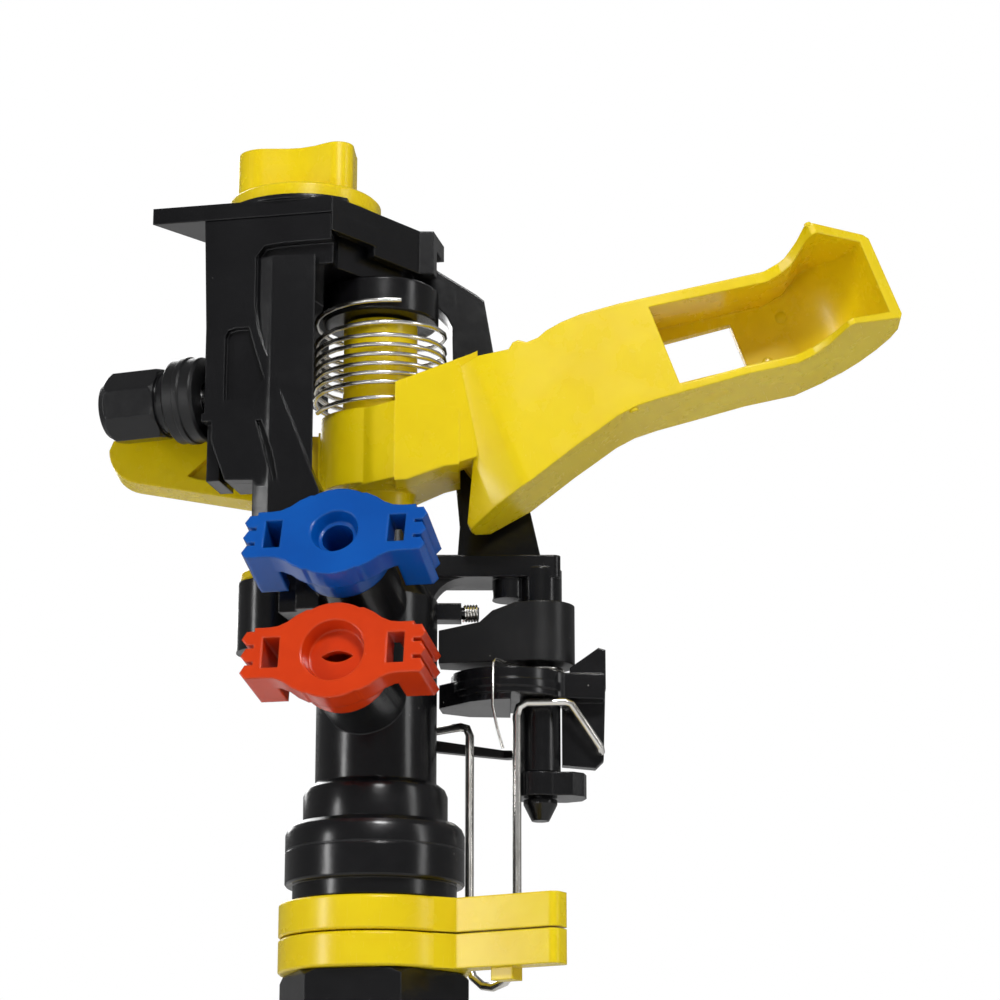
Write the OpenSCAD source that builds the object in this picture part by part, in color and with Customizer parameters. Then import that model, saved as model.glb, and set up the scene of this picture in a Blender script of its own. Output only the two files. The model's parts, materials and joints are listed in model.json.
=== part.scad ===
// Part-circle impact sprinkler head on a male threaded inlet.
// Frame: origin on the riser axis at the inlet end, +Z up the riser.
// The nozzles point towards -Y; the trip tower stands to +X.

/* [Inlet and bearing] */
// major radius of the G 3/4 inlet thread
thread_r = 13.22; // [10:0.01:17]
// length of the threaded inlet
thread_len = 15.4; // [10:0.1:25]
// distance across the flats of the inlet nut
nut_af = 32; // [28:0.5:40]
// outside radius of the neck that carries the collars
neck_r = 13.4; // [11:0.1:15]
// outside radius of the revolving water tube
tube_r = 8.0; // [6:0.1:9]
// bore radius of the revolving water tube
tube_bore_r = 6.0; // [4:0.1:7]
// running clearance on every plain bearing
run_gap = 0.05; // [0.02:0.01:0.1]

/* [Arc collars] */
// outside radius of the two arc collars
collar_r = 18.2; // [16:0.1:22]
// height of one arc collar
collar_h = 6.4; // [4:0.1:9]
// direction of the collar ears
ear_az = -18; // [-60:1:20]
// reach of an ear from the riser axis
ear_reach = 41; // [30:0.5:44]
// width of an ear
ear_w = 5.2; // [4.5:0.1:6.5]
// corner radius at the end of an ear
ear_round = 1.6; // [0.8:0.1:2.0]

/* [Head body] */
// outside radius of the dust sleeve
sleeve_r = 17.2; // [15:0.1:20]
// outside radius of the body tube
body_r = 11.7; // [10:0.1:14]
// outside radius of the two nozzle barrels
barrel_r = 7.9; // [6:0.1:10]
// bore radius of the two nozzle barrels
barrel_bore_r = 5.2; // [4:0.1:6]
// rise of the upper stream above level
upper_rise = 19; // [10:1:30]
// rise of the lower stream above level
lower_rise = 10; // [0:1:20]
// radius of the round face of a nozzle clip
clip_face_r = 9.4; // [9:0.1:10]
// half width of a nozzle clip over its fins
clip_half_w = 17.6; // [16:0.1:19]
// height of a nozzle clip's wings
clip_wing_h = 10; // [8:0.1:11]

/* [Hammer] */
// direction in which the hammer arm is parked
arm_az = 12; // [-90:1:20]
// rise of the hammer arm above level
arm_rise = 20.5; // [10:0.5:28]
// outside radius of the hammer hub
hub_r = 7.4; // [6:0.1:9]
// radius of the steel hammer pin
pin_r = 2.0; // [1.5:0.1:3]
// mean radius of the hammer spring
spring_r = 12.9; // [10:0.1:14]
// wire radius of the hammer spring
spring_wire_r = 0.48; // [0.3:0.02:1.0]

/* [Trip] */
// direction in which the trip tower stands
trip_az = 12; // [0:1:30]
// distance of the trip pivot from the riser axis
trip_x = 31.8; // [28:0.1:36]
// radius of the trip wire
wire_r = 0.85; // [0.6:0.05:1.2]

/* [Hidden] */
// every node, or the name of one node
$fn = 96;
black = [0.06, 0.06, 0.065];
yellow = [0.95, 0.8, 0.05];
blue = [0.05, 0.3, 0.85];
orange = [0.9, 0.25, 0.05];
steel = [0.75, 0.75, 0.77];
rubber = [0.1, 0.1, 0.1];
white = [0.9, 0.9, 0.88];
eps = 0.01;
// levels up the riser
nut_top = 28.0;
lower_collar_z = 28.1;
upper_collar_z = lower_collar_z + collar_h + 0.35;
neck_top = 50.0;
neck_bore_r = tube_r + run_gap;
well_r = 10.4;
well_top = 19.5;
sleeve_low = 42.2;
sleeve_top = 56.6;
// nozzle axes: a point on each axis and its rise
upper_c = [0, -33, 106.8];
lower_c = [0, -33, 84.2];
// trip tower, measured in its own turned frame
trip_y = 7.0;
lever_z0 = 89.2;
lever_z1 = 101.2;
disc_z0 = 82.0;
disc_z1 = 87.0;
// hammer
arm_z0 = 130;
hub_z0 = 116.2;
hub_z1 = 157.0;
arm_front = -13.5;
// adjuster axis: a point on it and its turn
adj_p = [-30.3, -16.5, 139.2];
adj_turn = -8;
cap_c = [-14.3, -6.6];
plate_z0 = 174.2;
plate_z1 = 177.5;
shelf_z0 = 106.6;
shelf_h = 4.4;

// ---- shared shapes ----

module ring(r_out, r_in, h) {
    difference() {
        cylinder(r = r_out, h = h);
        translate([0, 0, -1])
            cylinder(r = r_in, h = h + 2);
    }
}

module soft_ring(r_out, r_in, h, c) {
    rotate_extrude()
        polygon([[r_in, 0], [r_out - c, 0], [r_out, c], [r_out, h - c], [r_out - c, h], [r_in, h]]);
}

// a round wire along a list of points, with frames carried from point to point
function unit(v) = v / norm(v);
function tangent(pts, i) = unit(pts[min(i + 1, len(pts) - 1)] - pts[max(i - 1, 0)]);
function square_to(v, t) = unit(v - (v * t) * t);
function side_of(pts, i, ref) = square_to(i == 0 ? ref : side_of(pts, i - 1, ref), tangent(pts, i));

module wire(pts, r, ref, sides = 12) {
    n = len(pts);
    rings = [for (i = [0 : n - 1]) let (u = side_of(pts, i, ref), v = cross(tangent(pts, i), u))
        for (k = [0 : sides - 1]) pts[i] + r * (cos(k * 360 / sides) * u + sin(k * 360 / sides) * v)];
    polyhedron(rings, concat(
        [[for (k = [sides - 1 : -1 : 0]) k]],
        [for (i = [0 : n - 2], k = [0 : sides - 1]) let (m = (k + 1) % sides)
            [i * sides + k, i * sides + m, (i + 1) * sides + m, (i + 1) * sides + k]],
        [[for (k = [0 : sides - 1]) (n - 1) * sides + k]]));
}

// points of a helix of a given number of turns
function helix(r, turns, pitch, start, z0 = 0, steps = 24) =
    [for (i = [0 : round(turns * steps)])
        [r * cos(start + i * 360 / steps), r * sin(start + i * 360 / steps), z0 + pitch * i / steps]];

// side outline (x, z) pushed along y from y0 to y1
module slab(y0, y1, pts) {
    translate([0, y1, 0])
        rotate([90, 0, 0])
            linear_extrude(y1 - y0)
                polygon(pts);
}

// plan outline raised from z0 to z1
module deck(z0, z1, pts) {
    translate([0, 0, z0])
        linear_extrude(z1 - z0)
            polygon(pts);
}

module at_trip() {
    rotate([0, 0, trip_az])
        children();
}

module at_arm() {
    rotate([0, 0, arm_az])
        children();
}

// frame whose x runs up the arm, y across it and z square to both
module at_vane() {
    rotate([0, 0, arm_az])
        translate([0, 0, arm_z0])
            rotate([0, -arm_rise, 0])
                children();
}

// frame with +Z out of a nozzle and the origin on its front face
module at_nozzle(c, rise) {
    translate(c)
        rotate([90 - rise, 0, 0])
            children();
}

module at_adjuster() {
    translate(adj_p)
        rotate([0, 0, adj_turn])
            rotate([0, -90, 0])
                children();
}

// ---- inlet ----

module thread_rings(r, h, pitch, depth) {
    n = floor(h / pitch);
    rotate_extrude()
        polygon(concat(
            [[1, 0], [r - depth, 0]],
            [for (i = [0 : n - 1], k = [0 : 3]) [
                k == 0 || k == 3 ? r - depth : r,
                0.5 + i * pitch + pitch * [0.06, 0.38, 0.62, 0.94][k]]],
            [[r - depth, h], [1, h]]));
}

module base_nut() {
    color(black)
    difference() {
        union() {
            thread_rings(thread_r, thread_len, 1.814, 1.16);
            translate([0, 0, thread_len])
                cylinder(r = thread_r + 0.2, h = 1);
            intersection() {
                translate([0, 0, 16])
                    cylinder(r = nut_af / 2 / cos(30), h = nut_top - 16, $fn = 6);
                translate([0, 0, 16])
                    soft_ring(nut_af / 2 / cos(30) + 0.2, 1, nut_top - 16, 1.4);
            }
            translate([0, 0, nut_top - eps])
                cylinder(r = neck_r, h = 42 - nut_top);
            translate([0, 0, 41.5])
                cylinder(r = 11.2, h = neck_top - 41.5);
        }
        translate([0, 0, -1])
            cylinder(r = well_r, h = well_top + 1);
        cylinder(r = neck_bore_r, h = 60);
    }
}

// a ring with one flat ear, broader where the ear leaves the ring
module collar(z0) {
    side = ear_w / 2 - ear_round;
    translate([0, 0, z0])
    difference() {
        union() {
            soft_ring(collar_r, neck_r + run_gap, collar_h, 0.35);
            rotate([0, 0, ear_az]) {
                translate([neck_r + 1.5, -ear_w / 2, 0])
                    cube([ear_reach - ear_round - neck_r - 1.5, ear_w, collar_h]);
                translate([ear_reach - ear_round - eps, -side, 0])
                    cube([ear_round + eps, 2 * side, collar_h]);
                for (y = [-side, side])
                    translate([ear_reach - ear_round, y, 0])
                        cylinder(r = ear_round, h = collar_h);
                deck(0, collar_h, [[14, -8.5], [17.2, -6.2], [19.6, -2.6], [19.6, 2.6],
                    [17.2, 6.2], [14, 8.5]]);
            }
        }
        translate([0, 0, -1])
            cylinder(r = neck_r + run_gap, h = collar_h + 2);
    }
}

module lower_collar() {
    color(yellow)
    union() {
        collar(lower_collar_z);
        rotate([0, 0, ear_az])
            translate([26.4, -1.2, lower_collar_z - 2.4])
                cube([4.6, 3.6, 2.5]);
    }
}

module upper_collar() {
    color(yellow)
        collar(upper_collar_z);
}

// ---- bearing ----

module slip_washer() {
    color(white)
        translate([0, 0, well_top - 1.25])
            ring(9.9, tube_r + run_gap, 1.2);
}

module spindle_ring() {
    color(black)
        translate([0, 0, 14.2])
            soft_ring(9.9, tube_r, 4.0, 0.6);
}

module thrust_seal() {
    color(rubber)
        translate([0, 0, neck_top + 0.05])
            ring(10.8, tube_r + run_gap, 1.7);
}

module bearing_spring() {
    color(steel)
        translate([0, 0, 43.2])
            wire(helix(13.6, 4.4, 2.45, 0), 0.7, [0, 0, 1], 8);
}

module dust_sleeve() {
    color(black)
    difference() {
        translate([0, 0, sleeve_low])
            rotate_extrude()
                polygon([[14.6, -0.8], [15.3, -0.8], [15.7, -0.4], [15.7, 2.6],
                    [sleeve_r - 0.3, 2.6], [sleeve_r, 3.0], [sleeve_r, 8.8], [sleeve_r - 0.15, 9.0],
                    [sleeve_r, 9.2], [sleeve_r, 12.2], [sleeve_r - 0.5, 13.4],
                    [sleeve_r - 1.4, 14.2], [14.6, 14.4], [10, 14.4], [10, 12.6], [14.6, 12.6]]);
        translate([0, 0, sleeve_top - 3])
            cylinder(r = tube_r + 0.02, h = 5);
    }
}

// ---- head ----

module barrel_solid(c, rise, back) {
    at_nozzle(c, rise)
        translate([0, 0, -back])
            cylinder(r = barrel_r, h = back - 9.5);
    at_nozzle(c, rise)
        translate([0, 0, -12])
            cylinder(r = barrel_r - 0.9, h = 7);
}

module barrel_bore(c, rise, back) {
    at_nozzle(c, rise)
        translate([0, 0, -back])
            cylinder(r = barrel_bore_r, h = back + 5);
}

module body() {
    color(black)
    difference() {
        union() {
            translate([0, 0, 14.2])
                cylinder(r = tube_r, h = sleeve_top - 14);
            translate([0, 0, sleeve_top])
                rotate_extrude()
                    polygon([[1, 0], [13.9, 0], [13.9, 5.4], [13.4, 6.6], [12.4, 7.4],
                        [body_r, 7.7], [body_r, 8], [1, 8]]);
            translate([0, 0, sleeve_top + 7.5])
                cylinder(r = body_r, h = 100.5 - sleeve_top - 7.5);
            translate([0, 0, 100.5 - eps])
                cylinder(r1 = body_r, r2 = 7.2, h = 6.5);
            translate([0, 0, 100])
                cylinder(r = 7.2, h = 114.6 - 100);
            barrel_solid(upper_c, upper_rise, 36);
            barrel_solid(lower_c, lower_rise, 36);
            // web between the two barrels
            translate([-1.6, -20.5, 84])
                cube([3.2, 16.5, 16]);
            // shelf and its web
            at_trip() {
                translate([4, 3, shelf_z0])
                    cube([30.4, 12, shelf_h]);
                translate([34.4, 4.5, shelf_z0])
                    cylinder(r = 1.5, h = shelf_h);
                translate([34.4, 4.5, shelf_z0])
                    cube([1.5, 9, shelf_h]);
                translate([34.4, 13.5, shelf_z0])
                    cylinder(r = 1.5, h = shelf_h);
                slab(4, 10, concat([[5, 92], [5, 109], [17, 109]],
                    [for (a = [90 : 10 : 180]) [17 + 6.7 * cos(a), shelf_z0 - 6.7 + 6.7 * sin(a)]],
                    [[10.3, 92]]));
                // pivot stub under the shelf
                translate([trip_x, trip_y, 101.5])
                    cylinder(r = 4.4, h = 7);
                translate([trip_x - 6, trip_y, 102.6])
                    cylinder(r = 3.4, h = 5);
                // lower tie to the pivot
                intersection() {
                    deck(70, 78, [[2, 8], [6, 8], [10, 13.2], [24.6, 13.2], [28.2, 10.4],
                        [29.2, 11.8], [25.4, 15.2], [8.6, 15.2]]);
                    slab(0, 20, [[0, 74.6], [30, 71.6], [30, 72.9], [9, 76.0], [0, 76.0]]);
                }
                // spring peg
                translate([9, 5.2, 99.6])
                    rotate([0, 90, 0])
                        cylinder(r = 1.2, h = 10.8, $fn = 24);
                translate([9, 3.0, 97.9])
                    cube([7.3, 4.4, 3.3]);
            }
            // foot under the near leg
            deck(108.6, 112, [[-14.6, -21.5], [-6, -21.5], [-3, -12], [-3, -4], [-9, -4],
                [-14.6, -12]]);
            deck(95, 108.7, [[-14.6, -19.2], [-11.0, -19.2], [-10.6, -21.5], [-6, -21.5],
                [-3, -12], [-3, -4], [-9, -4], [-14.6, -12]]);
            // spare port boss
            at_trip() {
                translate([-21, 8, 92])
                    cylinder(r = 7.2, h = 14);
                translate([-21, 5.6, 94])
                    cube([16, 4.8, 9]);
            }
        }
        // waterways
        translate([0, 0, 10])
            cylinder(r = tube_bore_r, h = 58);
        translate([0, 0, 66])
            cylinder(r = 8.4, h = 30);
        barrel_bore(upper_c, upper_rise, 30);
        barrel_bore(lower_c, lower_rise, 30);
        // seat of the hammer pin
        translate([0, 0, 104.6])
            cylinder(r = pin_r, h = 20);
        // hole of the trip pin
        at_trip()
            translate([trip_x, trip_y, 101.4])
                cylinder(r = 2.4, h = 16);
        // recess of the spare port
        at_trip()
            translate([-21, 8, 98])
                cylinder(r = 5.0, h = 20);
    }
}

// near leg, far leg and crossbeam
module bridge() {
    color(black)
    difference() {
        union() {
            // near leg, front wall
            slab(-22, -19.2, [[-30.3, plate_z0], [-29.5, 152], [-29.5, 134.6], [-30.1, 134.6],
                [-30.1, 133], [-28, 133], [-28, 129], [-25.1, 121], [-19.5, 120.7],
                [-18.9, 119.7], [-16.7, 119.5], [-14.6, 115.8], [-14.6, 112.02], [-6.2, 112.02],
                [-6.2, 118], [-14.3, 138.4], [-17.6, 147.2], [-19, 151.3], [-19.7, 156],
                [-19.7, 166], [-18, 168.2], [-14, 168.6], [-4.5, 168.6], [-4.5, plate_z0]]);
            // near leg, outer wall
            slab(-19.5, -10, [[-30.3, plate_z0], [-29.5, 152], [-29.5, 121.6], [-26.9, 121.6],
                [-26.9, plate_z0]]);
            // lower block
            slab(-19.5, -11, [[-28, 133], [-28, 129], [-25.1, 121], [-19.5, 121], [-19.5, 135],
                [-28, 135]]);
            // strut
            slab(-19.5, -15.8, [[-14.6, 112.02], [-6.2, 112.02], [-6.2, 118], [-8.2, 122],
                [-16.8, 133], [-19.4, 133], [-16.4, 121]]);
            // glossy inner wall
            deck(112.02, 166, [[-19.7, -21], [-16.2, -22.2], [-7.8, -21.3], [-9.6, -18.9],
                [-16.9, -18.9], [-19.7, -18.9]]);
            // polished wall beside the spring
            deck(142.6, 164.6, [[-15.4, -19.2], [-15.2, -8], [-14.5, 0], [-12.9, 8], [-14.5, 8.6],
                [-16.2, 0], [-16.9, -8], [-17.2, -19.2]]);
            // crossbeam under the plate
            deck(164.4, plate_z0, [[-30.2, -20], [-4.6, -20], [-4.6, -16.5], [0.2, -8], [4.4, 0],
                [4.4, 9], [-22, 9], [-27.6, -10]]);
            // far leg
            at_trip() {
                slab(8, 15, [[3, plate_z0], [8.6, plate_z0], [11.4, 171.9], [19, 167],
                    [20.7, 165.6], [22.5, 155], [32.2, 111.02], [15.4, 111.02], [15.9, 118],
                    [14.8, 130], [14.2, 160], [13, 162.4], [11, 164.4], [3, 164.4]]);
            }
        }
        // window in the near leg
        slab(-23, -20.6, [[-25.6, 137], [-25.6, 150], [-25, 151.2], [-23.6, 151.6],
            [-20.9, 151.6], [-19.2, 146], [-17.6, 141], [-19.9, 137]]);
        // slot beside the strut
        slab(-23, -21, [[-19.0, 132.6], [-18.0, 132.6], [-15.6, 126], [-14.6, 120.8],
            [-15.6, 120.2], [-17.0, 125.6]]);
        // seat of the hammer pin
        translate([0, 0, 160])
            cylinder(r = pin_r, h = 11.4);
        // pocket of the cap foot
        translate([cap_c[0], cap_c[1], 168.6])
            cylinder(r = 5.6, h = 10);
        // adjuster bore
        at_adjuster()
            translate([0, 0, -18])
                cylinder(r = 2.3, h = 30);
    }
}

module top_plate() {
    color(black)
    difference() {
        union() {
            deck(plate_z0 + eps, plate_z1, [[-41, -22.3], [-4.3, -22.3], [7.7, 1], [10.4, 1.6],
                [10.4, 11], [-24, 11], [-32.2, -7.4]]);
            // side skirt with its end post
            deck(170.4, plate_z0 + 0.2, [[-4.3, -22.3], [1.8, -10.6], [0.2, -10],
                [-4.44, -19.0], [-4.44, -22.3]]);
            deck(168.4, plate_z0 + 0.2, [[1.4, -11.2], [7.7, 1], [10.4, 1.6], [10.4, 4.6],
                [8.6, 4.6], [5.4, 0.8], [-0.2, -10.4]]);
            translate([0, 0, plate_z1 - 0.1])
                linear_extrude(0.9)
                    difference() {
                        translate(cap_c)
                            circle(r = 16.6);
                        translate(cap_c)
                            circle(r = 15.7);
                        translate([-50, -60])
                            square([100, 36.8]);
                        translate([-2.4, -40])
                            square([30, 80]);
                    }
        }
        translate([cap_c[0], cap_c[1], 160])
            cylinder(r = 3.9, h = 30);
    }
}

module top_cap() {
    color(yellow)
    translate([cap_c[0], cap_c[1], 0])
    union() {
        translate([0, 0, plate_z1 + 0.05])
            soft_ring(15.3, 0.5, 3.9, 0.5);
        translate([0, 0, plate_z1 + 0.5])
            cylinder(r = 1, h = 3.4);
        at_trip() {
            translate([0, 0, plate_z1 + 3.5]) {
                translate([-8.0, 0, 0])
                    cylinder(r = 5.6, h = 11);
                translate([-8.0, -5.6, 0])
                    cube([12.6, 11.2, 11]);
                translate([4.6, -0.2, 0])
                    cylinder(r = 5.8, h = 11);
                translate([6.9, -6.5, 0])
                    cylinder(r = 3.1, h = 11);
                deck(0, 11, [[-3.4, -5.6], [-0.6, -6.0], [2.2, -7.2], [4.6, -8.8], [5.61, -9.32],
                    [6.9, -6.5], [10, -6.5], [10.3, -1], [-3.4, 0]]);
            }
        }
        translate([0, 0, plate_z0 - 0.2])
            cylinder(r = 3.85, h = 4);
        translate([0, 0, 170])
            cylinder(r = 3.85, h = 5);
        translate([0, 0, 170.2])
            cylinder(r1 = 4.2, r2 = 5.0, h = 2.4);
        translate([0, 0, 172.6])
            cylinder(r = 5.0, h = 1.4);
    }
}

// ---- nozzles ----

// the two wings of a clip seen from the front, each ending in three grip fins
module clip_wings() {
    third = clip_wing_h / 3;
    translate([-clip_half_w + 2.4, -clip_wing_h / 2])
        square([2 * clip_half_w - 4.8, clip_wing_h]);
    for (s = [0, 1], k = [-1, 0, 1])
        mirror([s, 0])
            translate([clip_half_w - 2.5, k * third])
                polygon([[0, -third / 2], [1.6, -third / 2], [2.5, -third / 2 + 1.1],
                    [1.6, third / 2 - 0.7], [0, third / 2 - 0.7]]);
}

// outline of a clip seen from the front: a round face flowing into two wings
module clip_face() {
    circle(r = clip_face_r);
    clip_wings();
    for (s = [0, 1])
        mirror([0, s])
            polygon([[-13.4, 4.9], [-10.8, 5.2], [-9.0, 6.0], [-7.4, 7.2], [-5.4, 8.2],
                [5.4, 8.2], [7.4, 7.2], [9.0, 6.0], [10.8, 5.2], [13.4, 4.9], [13.4, 0],
                [-13.4, 0]]);
}

module nozzle_clip() {
    depth = 12.2;
    difference() {
        union() {
            // front face and round cap
            translate([0, 0, -5.2])
                linear_extrude(5.2)
                    clip_face();
            // wings behind the face
            for (s = [0, 1])
                mirror([s, 0, 0])
                    translate([0, 0, -depth])
                        linear_extrude(depth - 5)
                            difference() {
                                clip_wings();
                                translate([-40, -20])
                                    square([51.4, 40]);
                            }
            // spigot in the barrel
            translate([0, 0, -15])
                cylinder(r = barrel_bore_r - run_gap, h = 11);
            // sleeve over the barrel mouth
            translate([0, 0, -9.2])
                cylinder(r = 9.0, h = 6);
        }
        // seat for the barrel mouth
        translate([0, 0, -20])
            difference() {
                cylinder(r = barrel_r - 0.9 + run_gap, h = 15.2);
                cylinder(r = barrel_bore_r - run_gap, h = 30);
            }
        // groove of the seal
        translate([0, 0, -11.6])
            difference() {
                cylinder(r = barrel_bore_r + 1, h = 1.8);
                cylinder(r = barrel_bore_r - 1.2, h = 1.8);
            }
        // windows beside the round face
        for (s = [-1, 1])
            translate([s * 11.9 - 1.6, -3, -20])
                cube([3.2, 6, 30]);
        // waterway
        translate([0, 0, -20])
            cylinder(r1 = 3.6, r2 = 3.0, h = 17.5);
    }
}

module upper_nozzle() {
    color(blue)
    at_nozzle(upper_c, upper_rise)
        difference() {
            nozzle_clip();
            // stepped round outlet
            translate([0, 0, -2.6])
                cylinder(r1 = 3.6, r2 = 4.6, h = 2.7);
            translate([0, 0, -5])
                cylinder(r = 2.7, h = 6);
        }
}

module lower_nozzle() {
    color(orange)
    at_nozzle(lower_c, lower_rise)
        difference() {
            union() {
                difference() {
                    nozzle_clip();
                    translate([0, 0, -3.4])
                        cylinder(r1 = 5.4, r2 = 6.0, h = 3.5);
                }
                translate([0, 0, -5.0])
                    cylinder(r = 4.2, h = 1.6);
            }
            // lens-shaped outlet
            translate([0, 0, -8])
                linear_extrude(8)
                    intersection() {
                        translate([0, 3.6])
                            circle(r = 4.7);
                        translate([0, -3.6])
                            circle(r = 4.7);
                    }
        }
}

module seal_ring(c, rise) {
    at_nozzle(c, rise)
        translate([0, 0, -10.7])
            rotate_extrude()
                translate([barrel_bore_r - 0.62, 0])
                    circle(r = 0.56, $fn = 24);
}

module upper_seal() {
    color(rubber)
        seal_ring(upper_c, upper_rise);
}

module lower_seal() {
    color(rubber)
        seal_ring(lower_c, lower_rise);
}

// three blades inside a thin tube that straighten the stream
module stream_vane(c, rise) {
    at_nozzle(c, rise)
        translate([0, 0, -25])
            union() {
                ring(barrel_bore_r - 0.02, barrel_bore_r - 0.8, 8);
                for (a = [0 : 60 : 120])
                    rotate([0, 0, a])
                        translate([-barrel_bore_r + 0.4, -0.3, 0])
                            cube([2 * barrel_bore_r - 0.8, 0.6, 8]);
            }
}

module upper_vane() {
    color(white)
        stream_vane(upper_c, upper_rise);
}

module lower_vane() {
    color(white)
        stream_vane(lower_c, lower_rise);
}

module port_plug() {
    color(yellow)
    at_trip()
        translate([-21, 8, 0])
            union() {
                translate([0, 0, 98.2])
                    cylinder(r = 4.95, h = 8);
                translate([0, 0, 106.02])
                    soft_ring(6.6, 0.5, 2.4, 0.6);
                translate([-1.1, -5.4, 108.3])
                    cube([2.2, 10.8, 3.2]);
                translate([0, 0, 106])
                    cylinder(r = 1, h = 2.4);
            }
}

// ---- hammer ----

// side outline of the arm, square to the vane frame
arm_top = [[16.4, 8.3], [24.3, 9.0], [30.4, 8.2], [31.6, 9.2], [32.8, 9.3], [34.2, 8.3],
    [36.6, 8.4], [38.6, 9.2], [42, 9.8], [46, 10], [54.2, 9.4], [83.2, 5.6], [87.4, 6.2],
    [90.4, 7.8], [92.2, 9.2], [93.4, 9.2], [101, 6.2], [103.6, 5.2], [104.6, 4.2]];
arm_low = [[104.9, -12.4], [104.2, -13.4], [96, -13.6], [90.5, -13.7], [82.9, -14.3],
    [72.7, -12.9], [62, -12.1], [54.5, -11.5], [49.6, -11.4], [45.4, -12.0], [40.6, -13.4],
    [35.6, -14.8], [24.9, -18.3], [11.6, -20.5], [11.4, -19], [16.4, -9.2]];

// plan outline of the arm in the vane frame
arm_plan = [[11.2, -4.4], [16.6, -9.6], [22.6, -12.9], [24.3, -13.5], [26.2, -13.5],
    [82.5, -13.5], [86, -14.2], [88.8, -16.2], [91.4, -19.6], [92.8, -22], [94, -22],
    [104.8, -15.2], [104.9, -13.6], [104.3, -10], [102.8, -6.2], [100.2, -2.6], [97, 0.6],
    [93.4, 3], [89, 4.5], [15.6, 4.5], [12.4, 0]];

// plan outline of the scooped hollow
scoop_plan = [[59.2, -30], [59.2, 1.2], [60.4, 2.3], [86.6, 2.3], [90.8, 1.2], [94.6, -1.4],
    [98, -5], [100.4, -9], [101.6, -13], [102.4, -17], [90, -30]];

module push_w(w0, w1, pts) {
    translate([0, w1, 0])
        rotate([90, 0, 0])
            linear_extrude(w1 - w0)
                polygon(pts);
}

module arm_outer() {
    flare = 4.4;
    intersection() {
        push_w(-30, 10, concat(arm_top, [[105, -30], [0, -30]]));
        // the underside falls towards the back
        translate([0, arm_front, -12])
            rotate([-flare, 0, 0])
                translate([0, -arm_front, 12])
                    push_w(-40, 20, concat([[0, 40], [110, 40]], arm_low));
        translate([0, 0, -40])
            linear_extrude(80)
                polygon(arm_plan);
    }
}

module arm_scoop() {
    intersection() {
        translate([0, 0, -40])
            linear_extrude(80)
                polygon(scoop_plan);
        push_w(-30, 10, [[54, 6.6], [57, 7.0], [83, 3.4], [88, 4.2], [91.6, 6.6], [94, 6.9],
            [101, 4.2], [106, 2.6], [106, -11.6], [94, -11.8], [82.9, -12.7], [72.7, -11.3],
            [62, -10.5], [57, -9.8], [54, -9.2]]);
    }
}

module hammer() {
    color(yellow)
    difference() {
        union() {
            at_arm() {
                translate([0, 0, hub_z0])
                    cylinder(r = hub_r, h = hub_z1 - hub_z0);
                // solid root under the spring
                intersection() {
                    deck(118, 136.8, [[-7.2, -1], [-5.4, -9.2], [3.6, -17], [16, -12], [16, 6.6],
                        [-2, 6.6]]);
                    slab(-20, 10, [[-8, 121.4], [5.8, 121.4], [12.8, 124.6], [16, 125.4],
                        [16, 136.8], [-8, 136.8]]);
                }
                // root plate in front of the spring
                intersection() {
                    deck(118, 152, [[3.6, -17.0], [19.5, -10.4], [19.5, -4], [3.6, -9.5]]);
                    slab(-30, 10, [[3.6, 120.8], [6, 121.2], [13, 124.6], [19.5, 127.4],
                        [19.5, 149], [18.2, 148.2], [3.6, 140.6]]);
                }
                // counterweight
                slab(6, 14, concat([[-6, 122.2], [-6, 136], [-20, 136.4], [-40, 137.6],
                    [-48, 137.6], [-51.4, 136.8], [-53.6, 135.2]],
                    [for (a = [180 : 9 : 261]) [-47.6 + 6.8 * cos(a), 133.2 + 6.8 * sin(a)]],
                    [[-26, 122.8], [-16, 122]]));
                // round seat under the spring
                intersection() {
                    translate([0, 0, 121.8])
                        cylinder(r = 11.9, h = 15.2);
                    deck(121, 138, [[-13, -13], [3, -13], [3, 6.2], [-13, 6.2]]);
                }
                slab(-2, 6.2, [[-12, 122.4], [-12, 134.6], [3, 134.6], [3, 122.4]]);
            }
            at_vane()
                arm_outer();
        }
        at_arm() {
            translate([0, 0, 100])
                cylinder(r = pin_r + run_gap, h = 80);
            // clearance round the spring
            translate([0, 0, 137.2])
                difference() {
                    cylinder(r = spring_r + 1.1, h = 40);
                    translate([0, 0, -1])
                        cylinder(r = hub_r, h = 50);
                }
            // pockets in the counterweight
            slab(5, 8.6, [[-38.6, 128.0], [-36.4, 127.3], [-30.6, 126.7], [-30.6, 133.4],
                [-34.2, 132.2]]);
            slab(11, 16, [[-50, 129.4], [-14, 124.6], [-14, 133.6], [-50, 135.2]]);
        }
        at_vane() {
            arm_scoop();
            // window
            push_w(-2, 12, [[60.2, 3.6], [75.8, 2.2], [75.8, -7.2], [60.4, -5.6]]);
        }
    }
}

module hammer_pin() {
    color(steel)
    translate([0, 0, 104.8])
        cylinder(r = pin_r, h = 171.2 - 104.8);
}

module hammer_washer() {
    color(white)
    translate([0, 0, 114.7])
        ring(5.4, pin_r + run_gap, 1.4);
}

module spring_cup() {
    color(black)
    translate([0, 0, hub_z1 + 0.4])
        difference() {
            soft_ring(11.6, pin_r + 0.02, 164.3 - hub_z1 - 0.4, 0.4);
            translate([0, 0, -1])
                cylinder(r = 5, h = 1.6);
        }
}

module hammer_spring() {
    color(steel)
    at_arm()
        wire(concat(helix(spring_r, 0.96, 3.5, 200, 138.0),
            helix(spring_r, 6, 1.93, 200, 141.5),
            helix(spring_r, 1.2, 4.6, 215, 153.4)),
            spring_wire_r, [0, 0, 1], 10);
}

// ---- adjuster ----

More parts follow.
